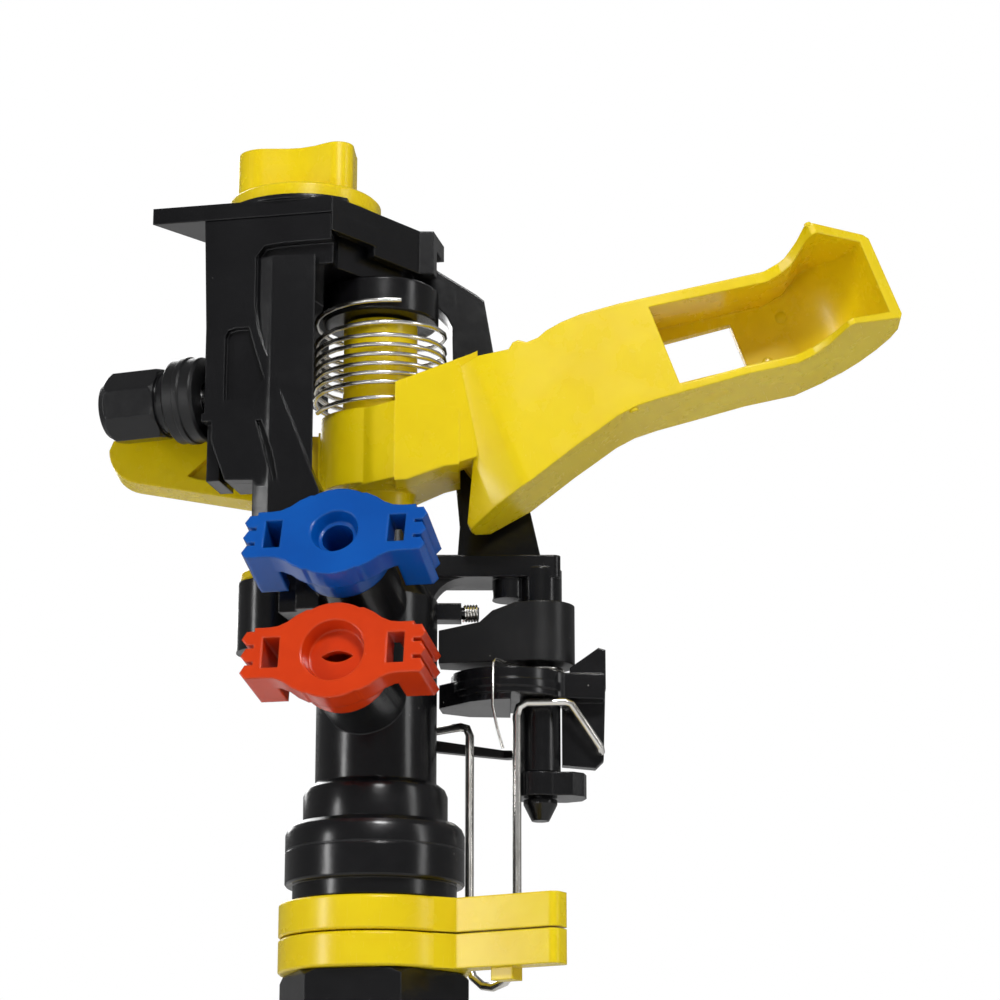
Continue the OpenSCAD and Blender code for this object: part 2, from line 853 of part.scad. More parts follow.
module adjuster_sleeve() {
    color(black)
    at_adjuster()
        difference() {
            union() {
                translate([0, 0, 0.15])
                    soft_ring(8.3, 3.5, 6.6, 0.5);
                translate([0, 0, 3.0])
                    ring(8.6, 8, 1.2);
            }
            translate([0, 0, -1])
                cylinder(r = 3.5, h = 12);
        }
}

module adjuster_knob() {
    color(black)
    at_adjuster()
        difference() {
            union() {
                translate([0, 0, 0.6])
                    cylinder(r = 3.45, h = 7);
                translate([0, 0, 6.9])
                    cylinder(r = 6.1, h = 2.4);
                translate([0, 0, 9.0])
                    rotate([0, 0, 12])
                        intersection() {
                            cylinder(r = 7.3, h = 12.2, $fn = 8);
                            rotate_extrude()
                                polygon([[0, 0], [6.7, 0], [7.3, 0.8], [7.3, 10.2], [5.9, 12.2],
                                    [0, 12.2]]);
                        }
            }
            cylinder(r = 2.2, h = 16.5);
        }
}

module adjuster_screw() {
    color(steel)
    at_adjuster()
        translate([0, 0, -15.2])
            rotate_extrude()
                polygon(concat([[0, 0], [1.5, 0], [2.0, 0.5]],
                    [for (i = [0 : 13], k = [0 : 1]) [k == 0 ? 2.2 : 1.85, 1.2 + i * 0.9 + k * 0.45]],
                    [[2.2, 14], [2.2, 31], [0, 31]]));
}

// ---- trip ----

module reverse_lever() {
    color(black)
    at_trip()
        difference() {
            intersection() {
                union() {
                    translate([trip_x, trip_y, lever_z0])
                        cylinder(r = 6.9, h = lever_z1 - lever_z0);
                    deck(lever_z0, lever_z1, [[11.9, 3.4], [trip_x, 0.1], [trip_x + 1, 13.8],
                        [24, 12.6], [12.2, 9.4]]);
                }
                slab(-10, 30, [[10, 88], [10, 95.4], [19.9, 97.2], [22.4, 99.4], [27, 101], [40, 101.4],
                    [40, 88]]);
            }
            translate([trip_x, trip_y, 80])
                cylinder(r = 3.0 + run_gap, h = 40);
        }
}

module lever_spring() {
    color(steel)
    at_trip()
        translate([16.7, 5.2, 99.6])
            rotate([0, 90, 0])
                wire(helix(1.55, 5, 0.56, 0, 0, 12), 0.25, [0, 0, 1], 6);
}

module trip_lever() {
    color(black)
    at_trip()
        difference() {
            union() {
                translate([25.5, 6.5, disc_z0])
                    cylinder(r = 11.2, h = disc_z1 - disc_z0);
                translate([25.5, 6.5, disc_z0 + 1.2])
                    cylinder(r = 11.5, h = 1.6);
                translate([trip_x, trip_y, disc_z0])
                    cylinder(r = 7, h = disc_z1 - disc_z0);
                // arm towards the body
                deck(disc_z0 - 1.4, disc_z1 - 1.8, [[12, 5.5], [18, -1.5], [22, -3.8], [26, -4.5],
                    [26, 15], [18, 14.4], [12.6, 11]]);
                // raised tab and wire bracket
                deck(disc_z0, disc_z1, [[34, 1.4], [44.4, 3], [44.4, 6.6], [34, 13]]);
                slab(3, 6.4, [[37.6, 84], [37.6, 88.2], [43.2, 92.2], [44.6, 91.8], [44.6, 84]]);
                slab(6.6, 9.6, [[36.1, 69.6], [36.1, 84], [44.6, 84], [44.2, 70.6], [42.6, 69]]);
            }
            translate([trip_x, trip_y, 60])
                cylinder(r = 3.2 + run_gap, h = 60);
        }
}

module toggle_spring() {
    color(steel)
    at_trip()
        wire(concat(
            [for (p = helix(4.6, 2, 0.62, 215, 87.5)) p + [trip_x, trip_y, 0]],
            [[24.6, 0.4, 88.8], [23.0, -4.4, 88.4], [22.6, -5.5, 87.4], [22.5, -5.6, 79],
                [23.4, -5.6, 74.6], [24.5, -5.6, 70.7]]),
            0.28, [0, 0, 1], 8);
}

module trip_pin() {
    color(black)
    at_trip()
        translate([trip_x, trip_y, 0])
            union() {
                translate([0, 0, 67.9])
                    cylinder(r = 4.0, h = 13.95);
                translate([0, 0, 80])
                    cylinder(r = 3.2, h = 8.3);
                translate([0, 0, 88.3])
                    cylinder(r = 3.0, h = 13.2);
                translate([0, 0, 101.4])
                    cylinder(r = 2.4, h = 5.6);
                translate([0, 0, 62.6])
                    cylinder(r = 2.4, h = 5.4);
                translate([0, 0, 58.6])
                    cylinder(r1 = 1.7, r2 = 3.3, h = 3.2);
                translate([0, 0, 61.8])
                    cylinder(r = 3.3, h = 0.85);
            }
}

module pin_retainer() {
    color(black)
    at_trip()
        difference() {
            union() {
                translate([trip_x, trip_y, 63])
                    cylinder(r = 5.2, h = 4.6);
                deck(63, 67.6, [[trip_x - 2.4, 2.6], [38, 2.4], [40.2, 4], [40.8, 7], [40, 10],
                    [37, 11.8], [trip_x - 3, 11.4]]);
            }
            translate([trip_x, trip_y, 50])
                cylinder(r = 2.4, h = 30);
        }
}

module trip_wire() {
    color(steel)
    at_trip()
        wire([[10.8, 11.8, 77.2], [13.4, 10.5, 77.4], [16.2, 8.7, 77.5], [17.4, 8.1, 77.1], [18.0, 7.8, 75.6],
            [18.0, 7.8, 31], [18.7, 7.35, 28.6], [20.6, 6.1, 26.8], [22.6, 4.8, 26.4],
            [24.8, 3.4, 27.2], [26.6, 2.3, 29.4], [27.2, 1.9, 32], [27.2, 1.9, 78.4],
            [27.7, 1.6, 80.2], [29.2, 1.4, 81], [36.6, 1.4, 81.1], [37.8, 1.6, 80.7],
            [43.4, 3.6, 72.6], [43.6, 6.3, 72.2]], wire_r, [0.54, 0.84, 0]);
}

base_nut();
lower_collar();
upper_collar();
slip_washer();
spindle_ring();
thrust_seal();
bearing_spring();
dust_sleeve();
body();
bridge();
top_plate();
top_cap();
upper_nozzle();
upper_seal();
upper_vane();
lower_nozzle();
lower_seal();
lower_vane();
port_plug();
hammer();
hammer_pin();
hammer_washer();
spring_cup();
hammer_spring();
adjuster_sleeve();
adjuster_knob();
adjuster_screw();
reverse_lever();
lever_spring();
trip_lever();
toggle_spring();
trip_pin();
pin_retainer();
trip_wire();
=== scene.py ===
"""Finishes and fine detail for a part-circle impact sprinkler head.

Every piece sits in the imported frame: metres, +Z up the riser, the nozzles towards -Y.
"""
import json
import math

import bmesh
import bpy
from mathutils import Matrix, Vector


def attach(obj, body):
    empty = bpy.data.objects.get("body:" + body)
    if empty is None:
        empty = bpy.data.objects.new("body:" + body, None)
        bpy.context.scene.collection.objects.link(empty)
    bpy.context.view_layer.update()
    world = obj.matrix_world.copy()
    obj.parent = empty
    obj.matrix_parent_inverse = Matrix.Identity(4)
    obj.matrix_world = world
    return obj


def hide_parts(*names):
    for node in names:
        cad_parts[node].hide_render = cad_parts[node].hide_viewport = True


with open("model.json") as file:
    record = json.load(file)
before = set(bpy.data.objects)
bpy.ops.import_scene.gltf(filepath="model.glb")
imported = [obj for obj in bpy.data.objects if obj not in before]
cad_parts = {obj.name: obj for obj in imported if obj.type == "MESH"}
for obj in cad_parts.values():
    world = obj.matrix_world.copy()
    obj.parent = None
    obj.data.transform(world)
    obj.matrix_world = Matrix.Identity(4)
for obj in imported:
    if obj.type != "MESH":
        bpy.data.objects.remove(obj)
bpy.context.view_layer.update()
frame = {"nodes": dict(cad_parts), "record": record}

MM = 0.001
RECORD = frame["record"]
BODY_OF = {
    node: body
    for body, nodes in RECORD["behaviour"]["bodies"].items()
    for node in nodes
}
SLOT_OF = {part["node"]: part["material_slot"] for part in RECORD["subparts"]}

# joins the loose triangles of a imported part, and is far smaller than any detail
MERGE_GAP = 0.003 * MM
# edges that turn more than this stay crisp
MOULDED_CREASE = math.radians(24)
THREAD_CREASE = math.radians(40)
WIRE_CREASE = math.radians(50)


# ---------------------------------------------------------------- node helpers


def add(tree, kind, sockets=None, **settings):
    """A new shader node. `sockets` fills its inputs, and the rest are its own settings."""
    node = tree.nodes.new(kind)
    for name, value in settings.items():
        setattr(node, name, value)
    for name, value in (sockets or {}).items():
        node.inputs[name].default_value = value
    return node


def join(tree, source, target):
    tree.links.new(source, target)


def new_group(name, inputs, outputs):
    """A shader node group with named sockets. inputs: name -> (kind, default)."""
    group = bpy.data.node_groups.new(name, "ShaderNodeTree")
    for label, (kind, default) in inputs.items():
        socket = group.interface.new_socket(label, in_out="INPUT", socket_type=kind)
        socket.default_value = default
    for label, kind in outputs.items():
        group.interface.new_socket(label, in_out="OUTPUT", socket_type=kind)
    return group, add(group, "NodeGroupInput"), add(group, "NodeGroupOutput")


def ramp(tree, low, high, low_value=0.0, high_value=1.0, smooth=True):
    """Stretches low..high to low_value..high_value, eased at its ends or straight."""
    return add(tree, "ShaderNodeMapRange",
               {"From Min": low, "From Max": high, "To Min": low_value, "To Max": high_value},
               interpolation_type="SMOOTHSTEP" if smooth else "LINEAR")


def fill(tree, socket, value):
    """Joins a node's output to the socket, or sets a plain value on it."""
    if isinstance(value, bpy.types.NodeSocket):
        join(tree, value, socket)
    else:
        socket.default_value = value


def maths(tree, operation, first, second):
    node = add(tree, "ShaderNodeMath", operation=operation)
    fill(tree, node.inputs[0], first)
    fill(tree, node.inputs[1], second)
    return node.outputs[0]


def noise(tree, vector, scale, detail=3.0, roughness=0.55):
    node = add(tree, "ShaderNodeTexNoise", {"Detail": detail, "Roughness": roughness})
    fill(tree, node.inputs["Scale"], scale)
    join(tree, vector, node.inputs["Vector"])
    return node.outputs["Fac"]


def bump(tree, height, strength, distance):
    """A Bump node, so that its normal can be taken on or another one fed in."""
    node = add(tree, "ShaderNodeBump", {"Distance": distance})
    fill(tree, node.inputs["Strength"], strength)
    join(tree, height, node.inputs["Height"])
    return node


# ---------------------------------------------------------------- shared effects

# how far the rounded normal agrees with the flat one, on a face and on a worn edge
FLAT_FACING, EDGE_FACING = 0.995, 0.86
# the depths of the skin's waves and grain, and of the lines in drawn wire, at full strength
WAVE_HEIGHT = 0.12 * MM
GRAIN_HEIGHT = 0.03 * MM
LINE_HEIGHT = 0.02 * MM
# noise scales, in features per metre
TONE_SCALE = 60.0
SMUDGE_SCALE = 95.0
STAIN_SCALE = 130.0
SPECK_PATCH_SCALE = 210.0
SPECK_SCALE = 420.0
SCUFF_STRETCH = (5200.0, 260.0, 260.0)
SCUFF_TURN = (0.4, 0.9, 0.3)


def make_soft_edges():
    """Rounded corners on a moulding, with a mask that is high where an edge is."""
    group, given, out = new_group(
        "soft_edges",
        {"Radius": ("NodeSocketFloat", 0.0004)},
        {"Normal": "NodeSocketVector", "Edge": "NodeSocketFloat"},
    )
    rounded = add(group, "ShaderNodeBevel", samples=6)
    join(group, given.outputs["Radius"], rounded.inputs["Radius"])
    flat = add(group, "ShaderNodeNewGeometry")
    facing = add(group, "ShaderNodeVectorMath", operation="DOT_PRODUCT")
    join(group, rounded.outputs["Normal"], facing.inputs[0])
    join(group, flat.outputs["Normal"], facing.inputs[1])
    edge = ramp(group, FLAT_FACING, EDGE_FACING)
    join(group, facing.outputs["Value"], edge.inputs["Value"])
    join(group, rounded.outputs["Normal"], out.inputs["Normal"])
    join(group, edge.outputs["Result"], out.inputs["Edge"])
    return group


def make_mould_skin():
    """Orange-peel waviness and fine spark grain of a moulded plastic skin."""
    group, given, out = new_group(
        "mould_skin",
        {
            "Normal": ("NodeSocketVector", (0.0, 0.0, 0.0)),
            "Wave Scale": ("NodeSocketFloat", 240.0),
            "Wave Depth": ("NodeSocketFloat", 0.25),
            "Grain Scale": ("NodeSocketFloat", 5200.0),
            "Grain Depth": ("NodeSocketFloat", 0.08),
        },
        {"Normal": "NodeSocketVector", "Tone": "NodeSocketFloat"},
    )
    place = add(group, "ShaderNodeTexCoord").outputs["Object"]
    wave = noise(group, place, given.outputs["Wave Scale"], 2.0)
    grain = noise(group, place, given.outputs["Grain Scale"], 2.0, 0.7)
    wavy = bump(group, wave, given.outputs["Wave Depth"], WAVE_HEIGHT)
    join(group, given.outputs["Normal"], wavy.inputs["Normal"])
    grainy = bump(group, grain, given.outputs["Grain Depth"], GRAIN_HEIGHT)
    join(group, wavy.outputs["Normal"], grainy.inputs["Normal"])
    join(group, grainy.outputs["Normal"], out.inputs["Normal"])
    tone = ramp(group, 0.3, 0.7)
    join(group, noise(group, place, TONE_SCALE, 4.0), tone.inputs["Value"])
    join(group, tone.outputs["Result"], out.inputs["Tone"])
    return group


def make_handling():
    """Smudges, fine scuffs and sparse dust specks from handling and storage."""
    group, given, out = new_group(
        "handling",
        {
            "Smudge": ("NodeSocketFloat", 0.5),
            "Scuff": ("NodeSocketFloat", 0.4),
            "Specks": ("NodeSocketFloat", 0.3),
        },
        {"Rough": "NodeSocketFloat", "Dust": "NodeSocketFloat"},
    )
    place = add(group, "ShaderNodeTexCoord").outputs["Object"]
    smudge = ramp(group, 0.45, 0.72)
    join(group, noise(group, place, SMUDGE_SCALE, 5.0, 0.6), smudge.inputs["Value"])
    stretched = add(group, "ShaderNodeMapping", {"Rotation": SCUFF_TURN, "Scale": SCUFF_STRETCH})
    join(group, place, stretched.inputs["Vector"])
    scuff = ramp(group, 0.66, 0.74)
    join(group, noise(group, stretched.outputs["Vector"], 1.0, 2.0, 0.5), scuff.inputs["Value"])
    cells = add(group, "ShaderNodeTexVoronoi", {"Scale": SPECK_SCALE}, feature="F1")
    join(group, place, cells.inputs["Vector"])
    speck = ramp(group, 0.085, 0.045)
    join(group, cells.outputs["Distance"], speck.inputs["Value"])
    sparse = ramp(group, 0.6, 0.68)
    join(group, noise(group, place, SPECK_PATCH_SCALE, 2.0), sparse.inputs["Value"])
    dust = maths(group, "MULTIPLY", speck.outputs["Result"], sparse.outputs["Result"])
    dust = maths(group, "MULTIPLY", dust, given.outputs["Specks"])
    rough = maths(group, "MULTIPLY", smudge.outputs["Result"], given.outputs["Smudge"])
    scuffed = maths(group, "MULTIPLY", scuff.outputs["Result"], given.outputs["Scuff"])
    rough = maths(group, "MAXIMUM", rough, scuffed)
    join(group, rough, out.inputs["Rough"])
    join(group, dust, out.inputs["Dust"])
    return group


def place_group(tree, group, **values):
    """The shared effect in a material, with the material's own values."""
    node = add(tree, "ShaderNodeGroup")
    node.node_tree = group
    for name, value in values.items():
        node.inputs[name.replace("_", " ")].default_value = value
    return node


def blend_colour(tree, mask, first, second):
    """first where the mask is 0, second where it is 1."""
    node = add(tree, "ShaderNodeMix", data_type="RGBA")
    join(tree, mask, node.inputs["Factor"])
    colour_a, colour_b = [socket for socket in node.inputs if socket.type == "RGBA"]
    fill(tree, colour_a, first)
    fill(tree, colour_b, second)
    return next(socket for socket in node.outputs if socket.type == "RGBA")


def blank_material(name):
    material = bpy.data.materials.new(name)
    material.use_nodes = True
    tree = material.node_tree
    tree.nodes.clear()
    surface = add(tree, "ShaderNodeBsdfPrincipled")
    end = add(tree, "ShaderNodeOutputMaterial")
    join(tree, surface.outputs["BSDF"], end.inputs["Surface"])
    return material, tree, surface


# ---------------------------------------------------------------- finishes

SOFT_EDGES = make_soft_edges()
MOULD_SKIN = make_mould_skin()
HANDLING = make_handling()

DUST = (0.62, 0.6, 0.56, 1)
EDGE_RUB = 0.35


def moulded(name, colour, shade, edge_tint, rough, rough_high, radius=0.4 * MM, wave=0.22,
            grain=0.06, smudge=0.5, scuff=0.3, specks=0.3, glow=0.0, specular=0.5):
    """A moulded plastic: two close tones, soft corners, a mould skin and handling marks."""
    material, tree, surface = blank_material(name)
    edges = place_group(tree, SOFT_EDGES, Radius=radius)
    skin = place_group(tree, MOULD_SKIN, Wave_Depth=wave, Grain_Depth=grain)
    marks = place_group(tree, HANDLING, Smudge=smudge, Scuff=scuff, Specks=specks)
    join(tree, edges.outputs["Normal"], skin.inputs["Normal"])
    body = blend_colour(tree, skin.outputs["Tone"], colour, shade)
    rubbed = maths(tree, "MULTIPLY", edges.outputs["Edge"], EDGE_RUB)
    body = blend_colour(tree, rubbed, body, edge_tint)
    dusty = blend_colour(tree, marks.outputs["Dust"], body, DUST)
    join(tree, dusty, surface.inputs["Base Color"])
    gloss = ramp(tree, 0.0, 1.0, rough, rough_high, smooth=False)
    join(tree, marks.outputs["Rough"], gloss.inputs["Value"])
    join(tree, gloss.outputs["Result"], surface.inputs["Roughness"])
    join(tree, skin.outputs["Normal"], surface.inputs["Normal"])
    surface.inputs["Subsurface Weight"].default_value = glow
    surface.inputs["Subsurface Scale"].default_value = 1.2 * MM
    surface.inputs["Subsurface Radius"].default_value = (1.0, 0.7, 0.3)
    surface.inputs["Specular IOR Level"].default_value = specular
    return material


def metal(name, colour, dark, rough, rough_high, line_scale, depth):
    """Drawn or ground metal: fine lines along one direction, and slight staining."""
    material, tree, surface = blank_material(name)
    place = add(tree, "ShaderNodeTexCoord").outputs["Object"]
    drawn = add(tree, "ShaderNodeMapping", {"Scale": line_scale})
    join(tree, place, drawn.inputs["Vector"])
    lines = noise(tree, drawn.outputs["Vector"], 1.0, 3.0, 0.6)
    stain = ramp(tree, 0.5, 0.75)
    join(tree, noise(tree, place, STAIN_SCALE, 4.0), stain.inputs["Value"])
    join(tree, blend_colour(tree, stain.outputs["Result"], colour, dark),
         surface.inputs["Base Color"])
    surface.inputs["Metallic"].default_value = 1.0
    gloss = ramp(tree, 0.3, 0.75, rough, rough_high, smooth=False)
    join(tree, lines, gloss.inputs["Value"])
    join(tree, gloss.outputs["Result"], surface.inputs["Roughness"])
    fine = bump(tree, lines, depth, LINE_HEIGHT)
    join(tree, fine.outputs["Normal"], surface.inputs["Normal"])
    return material


FINISH = {
    "black_plastic": moulded("gloss_black_moulding", (0.0035, 0.0035, 0.0042, 1),
                             (0.006, 0.006, 0.0068, 1), (0.02, 0.02, 0.022, 1), 0.2, 0.34,
                             radius=0.45 * MM, wave=0.35, grain=0.05, specks=0.25, specular=0.42),
    "matte_black": moulded("satin_black_moulding", (0.005, 0.005, 0.0055, 1),
                           (0.008, 0.008, 0.0085, 1), (0.022, 0.022, 0.023, 1), 0.34, 0.48,
                           radius=0.5 * MM, wave=0.25, grain=0.3, specks=0.25, specular=0.4),
    "yellow_plastic": moulded("yellow_moulding", (0.82, 0.625, 0.004, 1),
                              (0.78, 0.57, 0.003, 1), (0.88, 0.70, 0.02, 1), 0.26, 0.42,
                              radius=0.5 * MM, wave=0.2, grain=0.1, glow=0.12, specks=0.12,
                              specular=0.4),
    "blue_plastic": moulded("blue_moulding", (0.0015, 0.085, 0.40, 1),
                            (0.001, 0.07, 0.35, 1), (0.006, 0.15, 0.58, 1), 0.16, 0.3,
                            radius=0.7 * MM, wave=0.2, grain=0.08, specks=0.12, glow=0.04,
                            specular=0.4),
    "orange_plastic": moulded("orange_moulding", (0.64, 0.045, 0.004, 1),
                              (0.57, 0.036, 0.003, 1), (0.80, 0.09, 0.012, 1), 0.18, 0.32,
                              radius=0.7 * MM, wave=0.2, grain=0.08, specks=0.12, glow=0.04,
                              specular=0.4),
    "white_plastic": moulded("bearing_plastic", (0.78, 0.77, 0.72, 1), (0.68, 0.66, 0.6, 1),
                             (0.85, 0.84, 0.8, 1), 0.4, 0.55, radius=0.15 * MM),
    "seal_rubber": moulded("seal_rubber_skin", (0.012, 0.012, 0.012, 1),
                           (0.02, 0.02, 0.019, 1), (0.03, 0.03, 0.03, 1), 0.55, 0.7,
                           radius=0.1 * MM, grain=0.4, specks=0.4),
    "spring_steel": metal("drawn_spring_wire", (0.84, 0.82, 0.78, 1), (0.6, 0.57, 0.52, 1),
                          0.2, 0.28, (2600.0, 2600.0, 400.0), 0.03),
    "pin_steel": metal("ground_pin_steel", (0.6, 0.6, 0.6, 1), (0.4, 0.39, 0.37, 1),
                       0.22, 0.4, (600.0, 600.0, 9000.0), 0.3),
}


# ---------------------------------------------------------------- mesh helpers


def piece_from(bm, name, slot, body, crease=MOULDED_CREASE):
    """Ends a bmesh as a finished piece that rides on a body."""
    bmesh.ops.recalc_face_normals(bm, faces=bm.faces[:])
    mesh = bpy.data.meshes.new(name)
    bm.to_mesh(mesh)
    bm.free()
    return dress(mesh, name, slot, body, crease)


def dress(mesh, name, slot, body, crease=MOULDED_CREASE):
    """Gives a mesh its shading, finish and body, and puts it in the scene."""
    if "custom_normal" in mesh.attributes:
        mesh.attributes.remove(mesh.attributes["custom_normal"])
    mesh.shade_smooth()
    mesh.set_sharp_from_angle(angle=crease)
    mesh.materials.clear()
    mesh.materials.append(FINISH[slot])
    piece = bpy.data.objects.new(name, mesh)
    bpy.context.scene.collection.objects.link(piece)
    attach(piece, body)
    return piece


def merged_copy(node):
    """A bmesh copy of a CAD node with its loose triangles joined."""
    bm = bmesh.new()
    bm.from_mesh(frame["nodes"][node].data)
    bmesh.ops.remove_doubles(bm, verts=bm.verts[:], dist=MERGE_GAP)
    return bm


def finished_copy(node, crease=MOULDED_CREASE):
    """The moulded or turned part itself, with smooth rounds and crisp corners."""
    mesh = bpy.data.meshes.new(node + "_part")
    bm = merged_copy(node)
    bm.to_mesh(mesh)
    bm.free()
    piece = dress(mesh, node + "_part", SLOT_OF[node], BODY_OF[node], crease)
    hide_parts(node)
    return piece


def everything(bm):
    return bm.verts[:] + bm.edges[:] + bm.faces[:]


def rims_of(bm, verts=None):
    """The edges of the round end faces, on these vertices only where they are given."""
    return [edge for edge in bm.edges
            if any(len(face.verts) > 4 for face in edge.link_faces)
            and (verts is None or all(v in verts for v in edge.verts))]


def round_rims(bm, rims, offset):
    bmesh.ops.bevel(bm, geom=rims, offset=offset, offset_type="OFFSET", segments=3,
                    profile=0.5, affect="EDGES", clamp_overlap=True, material=-1)


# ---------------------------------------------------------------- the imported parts

WIRES = ("trip_wire", "hammer_spring", "toggle_spring", "lever_spring", "bearing_spring")
for node_name in BODY_OF:
    if node_name != "base_nut":
        finished_copy(node_name, WIRE_CREASE if node_name in WIRES else MOULDED_CREASE)


# ---------------------------------------------------------------- inlet nut and thread

# a 3/4 inch pipe thread, 14 turns to the inch, on the tube round the inlet's well
THREAD_CREST = 13.22 * MM
THREAD_ROOT = THREAD_CREST - 1.16 * MM
THREAD_PITCH = 25.4 / 14 * MM
THREAD_START = 1.2 * MM
THREAD_TOP = 15.38 * MM
THREAD_TURNS = 7.25
TURN_STEPS = 64
TUBE_STEPS = 96
TUBE_CHAMFER = 0.5 * MM
WELL = 10.4 * MM
# one ridge of the thread: its distance out, and its rise in pitches
FOOT = THREAD_ROOT - 0.15 * MM
SHOULDER = THREAD_CREST - 0.12 * MM
RIDGE = (
    (FOOT, -0.46), (SHOULDER, -0.12), (THREAD_CREST, -0.05),
    (THREAD_CREST, 0.05), (SHOULDER, 0.12), (FOOT, 0.46),
)
# the nut is cut just above the thread, so that the two pieces share no face
NUT_CUT = THREAD_TOP + 0.04 * MM


def outline(bm, points):
    """A closed loop of edges in the XZ plane, ready to spin."""
    verts = [bm.verts.new((x, 0, z)) for x, z in points]
    return verts, [bm.edges.new((verts[i - 1], verts[i])) for i in range(len(verts))]


def make_inlet_nut():
    """The nut and neck, closed off where the thread begins."""
    bm = merged_copy("base_nut")
    cut = bmesh.ops.bisect_plane(bm, geom=everything(bm), plane_co=(0, 0, NUT_CUT),
                                 plane_no=(0, 0, 1), clear_inner=True)
    rim = [e for e in cut["geom_cut"] if isinstance(e, bmesh.types.BMEdge)]
    bmesh.ops.triangle_fill(bm, use_beauty=True, edges=rim)
    nut = piece_from(bm, "inlet_nut_part", "black_plastic", "base")
    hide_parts("base_nut")


def make_inlet_thread():
    """A true helical thread on its tube, in place of the rings that stand for it."""
    bm = bmesh.new()
    verts, edges = outline(bm, [
        (WELL, TUBE_CHAMFER), (WELL + TUBE_CHAMFER, 0), (THREAD_ROOT - TUBE_CHAMFER, 0),
        (THREAD_ROOT, TUBE_CHAMFER), (THREAD_ROOT, THREAD_TOP), (WELL, THREAD_TOP),
    ])
    bmesh.ops.spin(bm, geom=verts + edges, cent=(0, 0, 0), axis=(0, 0, 1), dvec=(0, 0, 0),
                   angle=math.tau, steps=TUBE_STEPS, use_merge=True, use_duplicate=False)
    ridge = [bm.verts.new((out, 0, THREAD_START + rise * THREAD_PITCH)) for out, rise in RIDGE]
    bmesh.ops.spin(bm, geom=[bm.faces.new(ridge)], cent=(0, 0, 0), axis=(0, 0, 1),
                   dvec=(0, 0, THREAD_PITCH / TURN_STEPS), angle=math.tau * THREAD_TURNS,
                   steps=int(TURN_STEPS * THREAD_TURNS), use_merge=False, use_duplicate=False)
    piece_from(bm, "inlet_thread_part", "black_plastic", "base", THREAD_CREASE)


make_inlet_nut()
make_inlet_thread()


# ---------------------------------------------------------------- moulding marks

# how the hammer arm lies: it climbs from the pin at this height, and is turned about it
ARM_RISE = math.radians(20.5)
ARM_LEVEL = 130 * MM
ARM_TURN = math.radians(12)
ARM_TO_FRAME = (
    Matrix.Rotation(ARM_TURN, 4, "Z")
    @ Matrix.Translation((0, 0, ARM_LEVEL))
    @ Matrix.Rotation(-ARM_RISE, 4, "Y")
)
MARK_STEPS = 40
# place along, across and above the arm, the way it stands out, radius, height, rounding
ARM_MARKS = (
    ((49.0, -12.4, -11.6), (0, 0, -1), 0.9, 1.2, 0.3),  # gate stub on the lower edge
    ((93.0, -21.4, 9.1), (0, 0, 1), 0.75, 1.0, 0.3),  # gate stub at the tip
    ((80.0, 2.3, -8.0), (0, -1, 0), 1.2, 0.2, 0.06),  # ejector print in the hollow
    ((86.0, 2.3, 0.0), (0, -1, 0), 1.2, 0.2, 0.06),  # ejector print in the hollow
)


def button(bm, place, axis, radius, height, rounding):
    """A low round boss, such as a gate stub or the print of an ejector pin. In mm."""
    turn = Vector((0, 0, 1)).rotation_difference(Vector(axis)).to_matrix().to_4x4()
    made = bmesh.ops.create_cone(
        bm, cap_ends=True, segments=MARK_STEPS, radius1=radius * MM, radius2=radius * MM,
        depth=height * MM, matrix=Matrix.Translation(Vector(place) * MM) @ turn)
    round_rims(bm, rims_of(bm, made["verts"]), rounding * MM)


def make_hammer_marks():
    """Gate stubs on the arm's lower edge and at its tip, and prints in its hollow."""
    bm = bmesh.new()
    for mark in ARM_MARKS:
        button(bm, *mark)
    bmesh.ops.transform(bm, matrix=ARM_TO_FRAME, verts=bm.verts[:])
    piece_from(bm, "hammer_mould_marks", "yellow_plastic", "hammer_arm")


make_hammer_marks()


# ---------------------------------------------------------------- stage, light, camera

# radius, top and depth
STAGE = {"plinth": (0.075, -0.0003, 0.0797), "floor": (2.5, -0.08, 0.02)}
STAGE_STEPS = 96
STAGE_ROUNDING = 2 * MM
STAGE_PALE, STAGE_SHADE = (0.86, 0.86, 0.86, 1), (0.82, 0.82, 0.82, 1)
# the floor's fade to white: where it starts and ends, and how bright it ends
FADE_START, FADE_END, FADE_WHITE = 0.12, 1.3, 0.85
WHITE = (1, 1, 1, 1)


def make_stage():
    """A pale plinth under the riser, and a pale floor round it."""
    material, tree, surface = blank_material("pale_stage")
    place = add(tree, "ShaderNodeTexCoord").outputs["Object"]
    tone = blend_colour(tree, noise(tree, place, 30.0), STAGE_PALE, STAGE_SHADE)
    join(tree, tone, surface.inputs["Base Color"])
    surface.inputs["Roughness"].default_value = 0.7
    # out past the softboxes the floor fades to the same white that the world shows
    away = add(tree, "ShaderNodeVectorMath", operation="LENGTH")
    join(tree, place, away.inputs[0])
    fade = ramp(tree, FADE_START, FADE_END, 0.0, FADE_WHITE)
    join(tree, away.outputs["Value"], fade.inputs["Value"])
    path = add(tree, "ShaderNodeLightPath")
    lift = maths(tree, "MULTIPLY", path.outputs["Is Camera Ray"], fade.outputs["Result"])
    join(tree, lift, surface.inputs["Emission Strength"])
    surface.inputs["Emission Color"].default_value = WHITE
    for name, (radius, top, depth) in STAGE.items():
        bm = bmesh.new()
        bmesh.ops.create_cone(
            bm, cap_ends=True, segments=STAGE_STEPS, radius1=radius, radius2=radius,
            depth=depth, matrix=Matrix.Translation((0, 0, top - depth / 2)))
        round_rims(bm, rims_of(bm), STAGE_ROUNDING)
        mesh = bpy.data.meshes.new(name)
        bm.to_mesh(mesh)
        bm.free()
        mesh.materials.append(material)
        stage = bpy.data.objects.new(name, mesh)
        bpy.context.scene.collection.objects.link(stage)


HEAD = Vector((0.0, 0.0, 0.12))
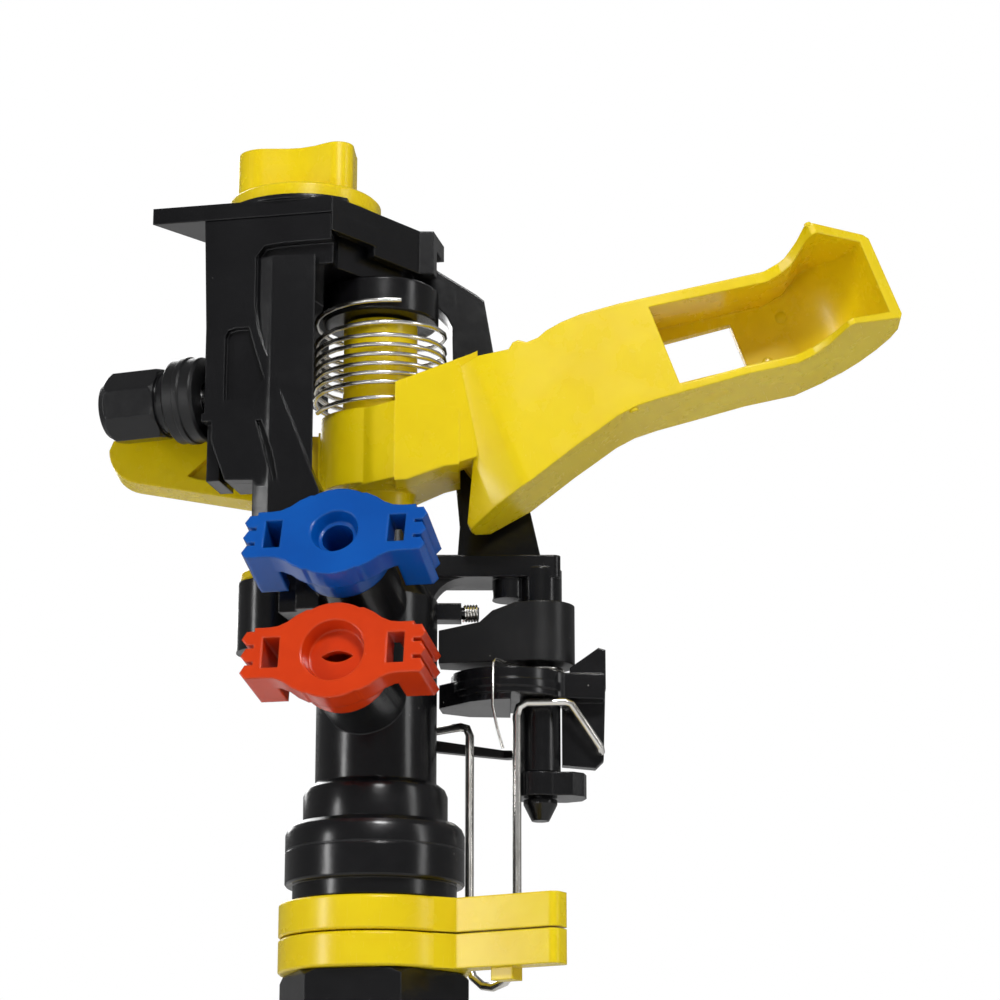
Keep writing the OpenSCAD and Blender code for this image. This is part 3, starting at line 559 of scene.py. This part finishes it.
# place, width and height, watts
SOFTBOXES = {
    "key": ((0.30, -0.74, 0.72), (0.20, 0.20), 6.2),
    "front": ((-0.15, -0.95, -0.12), (0.16, 0.12), 2.2),
    "side": ((0.90, -0.20, 0.35), (0.14, 0.6), 1.2),
    "left": ((-0.75, -0.66, 0.14), (0.12, 0.5), 2.6),
    "rim": ((-0.45, 0.65, 0.55), (0.4, 0.6), 3.5),
}


def make_softbox(name, place, size, power):
    """A soft rectangular light that faces the head."""
    light = bpy.data.lights.new(name, "AREA")
    light.shape = "RECTANGLE"
    light.size, light.size_y = size
    light.energy = power
    lamp = bpy.data.objects.new(name, light)
    lamp.location = place
    lamp.rotation_euler = (HEAD - Vector(place)).to_track_quat("-Z", "Y").to_euler()
    bpy.context.scene.collection.objects.link(lamp)


WORLD_SEEN = 1.0
WORLD_CAST = 0.2


def make_world():
    """White to the lens, dimmer to the part, so that dark mouldings stay deep."""
    world = bpy.data.worlds.new("studio")
    world.use_nodes = True
    tree = world.node_tree
    tree.nodes.clear()
    path = add(tree, "ShaderNodeLightPath")
    seen = add(tree, "ShaderNodeBackground", {"Color": WHITE, "Strength": WORLD_SEEN})
    cast = add(tree, "ShaderNodeBackground", {"Color": WHITE, "Strength": WORLD_CAST})
    pick = add(tree, "ShaderNodeMixShader")
    end = add(tree, "ShaderNodeOutputWorld")
    join(tree, path.outputs["Is Camera Ray"], pick.inputs[0])
    join(tree, cast.outputs[0], pick.inputs[1])
    join(tree, seen.outputs[0], pick.inputs[2])
    join(tree, pick.outputs[0], end.inputs["Surface"])
    bpy.context.scene.world = world


CAMERA_PLACE = (0.1419, -0.5526, -0.0324)
CAMERA_AIM = Vector((-0.2007, 0.9444, 0.2605))
SENSOR_MM = 36
LENS_MM = 107.6
NEAREST = 0.01


def make_camera():
    """In front of the head, low and to its right, looking up with a long lens."""
    data = bpy.data.cameras.new("camera")
    data.sensor_width = SENSOR_MM
    data.lens = LENS_MM
    data.clip_start = NEAREST
    camera = bpy.data.objects.new("camera", data)
    camera.location = CAMERA_PLACE
    camera.rotation_euler = CAMERA_AIM.to_track_quat("-Z", "Y").to_euler()
    bpy.context.scene.collection.objects.link(camera)
    bpy.context.scene.camera = camera


make_stage()
make_world()
for softbox, placing in SOFTBOXES.items():
    make_softbox(softbox, *placing)
make_camera()
bpy.context.scene.view_settings.view_transform = "Standard"
